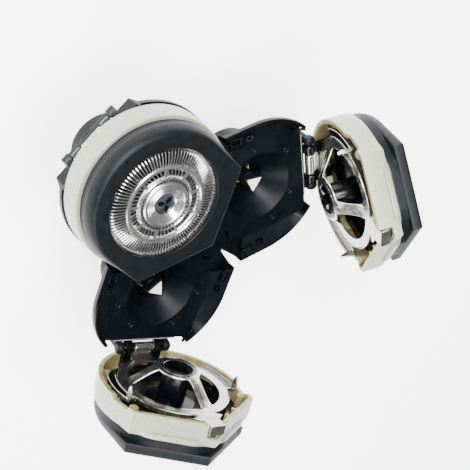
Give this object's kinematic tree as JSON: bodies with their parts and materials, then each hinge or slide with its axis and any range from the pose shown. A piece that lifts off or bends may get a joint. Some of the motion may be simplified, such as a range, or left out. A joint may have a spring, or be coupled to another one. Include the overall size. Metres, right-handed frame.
{
  "type": "rotary electric shaver head",
  "caption": "Rotary shaving head unit with flip-open cutter lids, tilting pods, retaining frames and a geared drive coupling.",
  "frame": {"origin": "centre of the coupling collar's bottom face, on the unit's axis", "axes": "+Z along the unit's axis towards the shaving faces; -Y towards the closed head"},
  "size_m": [0.0784, 0.0626, 0.0539],
  "materials": {
    "black_satin": "satin dark blue-grey moulded plastic",
    "black_gloss": "glossy black moulded plastic",
    "champagne": "satin light champagne metallic lacquer",
    "polished_steel": "polished stainless steel",
    "steel": "bright pressed spring steel",
    "white_plastic": "off-white acetal",
    "gear_plastic": "natural acetal",
    "bronze": "sintered bronze",
    "rubber": "soft black rubber"
  },
  "bodies": {
    "base": {"coupling_housing": "black_satin", "gearbox_cover": "black_satin", "housing_screws": "steel", "centre_spider": "black_satin", "seal_ring": "rubber", "shaft_bush": "bronze", "front_pivot_pin": "steel", "front_pod_spring": "steel", "right_pivot_pin": "steel", "right_pod_spring": "steel", "left_pivot_pin": "steel", "left_pod_spring": "steel"},
    "drive": {"drive_shaft": "steel", "sun_gear": "gear_plastic"},
    "front_planet": {"front_planet_gear": "gear_plastic", "front_spindle_spring": "steel"},
    "front_spindle": {"front_spindle": "white_plastic"},
    "front_pod": {"front_pod": "black_gloss", "front_hinge_bracket": "black_gloss", "front_hinge_pin": "steel"},
    "front_lid": {"front_lid_ring": "champagne", "front_lid_cap": "black_satin", "front_guard": "polished_steel", "front_guard_centre": "polished_steel", "front_retaining_frame": "steel"},
    "front_cutter": {"front_cutter": "steel", "front_cutter_hub": "gear_plastic"},
    "right_planet": {"right_planet_gear": "gear_plastic", "right_spindle_spring": "steel"},
    "right_spindle": {"right_spindle": "white_plastic"},
    "right_pod": {"right_pod": "black_gloss", "right_hinge_bracket": "black_gloss", "right_hinge_pin": "steel"},
    "right_lid": {"right_lid_ring": "champagne", "right_lid_cap": "black_satin", "right_guard": "polished_steel", "right_guard_centre": "polished_steel"},
    "right_cutter": {"right_cutter": "steel", "right_cutter_hub": "gear_plastic"},
    "right_frame": {"right_retaining_frame": "steel"},
    "left_planet": {"left_planet_gear": "gear_plastic", "left_spindle_spring": "steel"},
    "left_spindle": {"left_spindle": "white_plastic"},
    "left_pod": {"left_pod": "black_gloss", "left_hinge_bracket": "black_gloss", "left_hinge_pin": "steel"},
    "left_lid": {"left_lid_ring": "champagne", "left_lid_cap": "black_satin", "left_guard": "polished_steel", "left_guard_centre": "polished_steel"},
    "left_cutter": {"left_cutter": "steel", "left_cutter_hub": "gear_plastic"},
    "left_frame": {"left_retaining_frame": "steel"}
  },
  "joints": [
    {"name": "drive_spin", "type": "hinge", "parent": "base", "child": "drive", "pos_m": [0, 0, 0], "axis": [0, 0, 1], "continuous": true},
    {"name": "front_planet_spin", "type": "hinge", "parent": "base", "child": "front_planet", "pos_m": [0, -0.0166, 0.0124], "axis": [0, 0, 1], "continuous": true},
    {"name": "front_spindle_plunge", "type": "slide", "parent": "front_planet", "child": "front_spindle", "axis": [0, 0, 1], "range_m": [-0.0015, 0], "stiffness_N_per_m": 100, "springref_m": 0.001, "deforming": ["front_spindle_spring"]},
    {"name": "front_pod_tilt", "type": "hinge", "parent": "base", "child": "front_pod", "pos_m": [0, -0.0064, 0.0222], "axis": [1, 0, 0], "range_deg": [0, 4], "stiffness_Nm_per_rad": 0.06, "springref_deg": -5.73, "deforming": ["front_pod_spring"]},
    {"name": "front_lid_hinge", "type": "hinge", "parent": "front_pod", "child": "front_lid", "pos_m": [0, -0.0292, 0.0242], "axis": [1, 0, 0], "range_deg": [0, 80]},
    {"name": "front_cutter_spin", "type": "hinge", "parent": "front_lid", "child": "front_cutter", "pos_m": [0, -0.0166, 0.0344], "axis": [0, 0, 1], "continuous": true},
    {"name": "right_planet_spin", "type": "hinge", "parent": "base", "child": "right_planet", "pos_m": [0.01438, 0.0083, 0.0124], "axis": [0, 0, 1], "continuous": true},
    {"name": "right_spindle_plunge", "type": "slide", "parent": "right_planet", "child": "right_spindle", "axis": [0, 0, 1], "range_m": [-0.0015, 0], "stiffness_N_per_m": 100, "springref_m": 0.001, "deforming": ["right_spindle_spring"]},
    {"name": "right_pod_tilt", "type": "hinge", "parent": "base", "child": "right_pod", "pos_m": [0.00554, 0.0032, 0.0222], "axis": [-0.5, 0.866, 0], "range_deg": [0, 4], "stiffness_Nm_per_rad": 0.06, "springref_deg": -5.73, "deforming": ["right_pod_spring"]},
    {"name": "right_lid_hinge", "type": "hinge", "parent": "right_pod", "child": "right_lid", "pos_m": [0.02529, 0.0146, 0.0242], "axis": [-0.5, 0.866, 0], "range_deg": [-82.8, 0]},
    {"name": "right_cutter_spin", "type": "hinge", "parent": "right_lid", "child": "right_cutter", "pos_m": [0.03268, 0.01887, 0.03798], "axis": [0.8592, 0.4961, 0.1253], "continuous": true},
    {"name": "right_frame_hinge", "type": "hinge", "parent": "right_lid", "child": "right_frame", "pos_m": [0.02529, 0.0146, 0.0242], "axis": [0.5, -0.866, 0], "range_deg": [0, 45]},
    {"name": "left_planet_spin", "type": "hinge", "parent": "base", "child": "left_planet", "pos_m": [-0.01438, 0.0083, 0.0124], "axis": [0, 0, 1], "continuous": true},
    {"name": "left_spindle_plunge", "type": "slide", "parent": "left_planet", "child": "left_spindle", "axis": [0, 0, 1], "range_m": [-0.0015, 0], "stiffness_N_per_m": 100, "springref_m": 0.001, "deforming": ["left_spindle_spring"]},
    {"name": "left_pod_tilt", "type": "hinge", "parent": "base", "child": "left_pod", "pos_m": [-0.00554, 0.0032, 0.0222], "axis": [-0.5, -0.866, 0], "range_deg": [0, 4], "stiffness_Nm_per_rad": 0.06, "springref_deg": -5.73, "deforming": ["left_pod_spring"]},
    {"name": "left_lid_hinge", "type": "hinge", "parent": "left_pod", "child": "left_lid", "pos_m": [-0.02529, 0.0146, 0.0242], "axis": [-0.5, -0.866, 0], "range_deg": [-77.3, 0]},
    {"name": "left_cutter_spin", "type": "hinge", "parent": "left_lid", "child": "left_cutter", "pos_m": [-0.03151, 0.01819, 0.03873], "axis": [-0.8448, 0.4878, 0.2198], "continuous": true},
    {"name": "left_frame_hinge", "type": "hinge", "parent": "left_lid", "child": "left_frame", "pos_m": [-0.02529, 0.0146, 0.0242], "axis": [0.5, 0.866, 0], "range_deg": [0, 45]}
  ],
  "couplings": [
    {"joint": "front_planet_spin", "follows": "drive_spin", "ratio": -2.1818},
    {"joint": "front_cutter_spin", "follows": "drive_spin", "ratio": -2.1818},
    {"joint": "right_planet_spin", "follows": "drive_spin", "ratio": -2.1818},
    {"joint": "right_cutter_spin", "follows": "drive_spin", "ratio": -2.1818},
    {"joint": "left_planet_spin", "follows": "drive_spin", "ratio": -2.1818},
    {"joint": "left_cutter_spin", "follows": "drive_spin", "ratio": -2.1818}
  ]
}
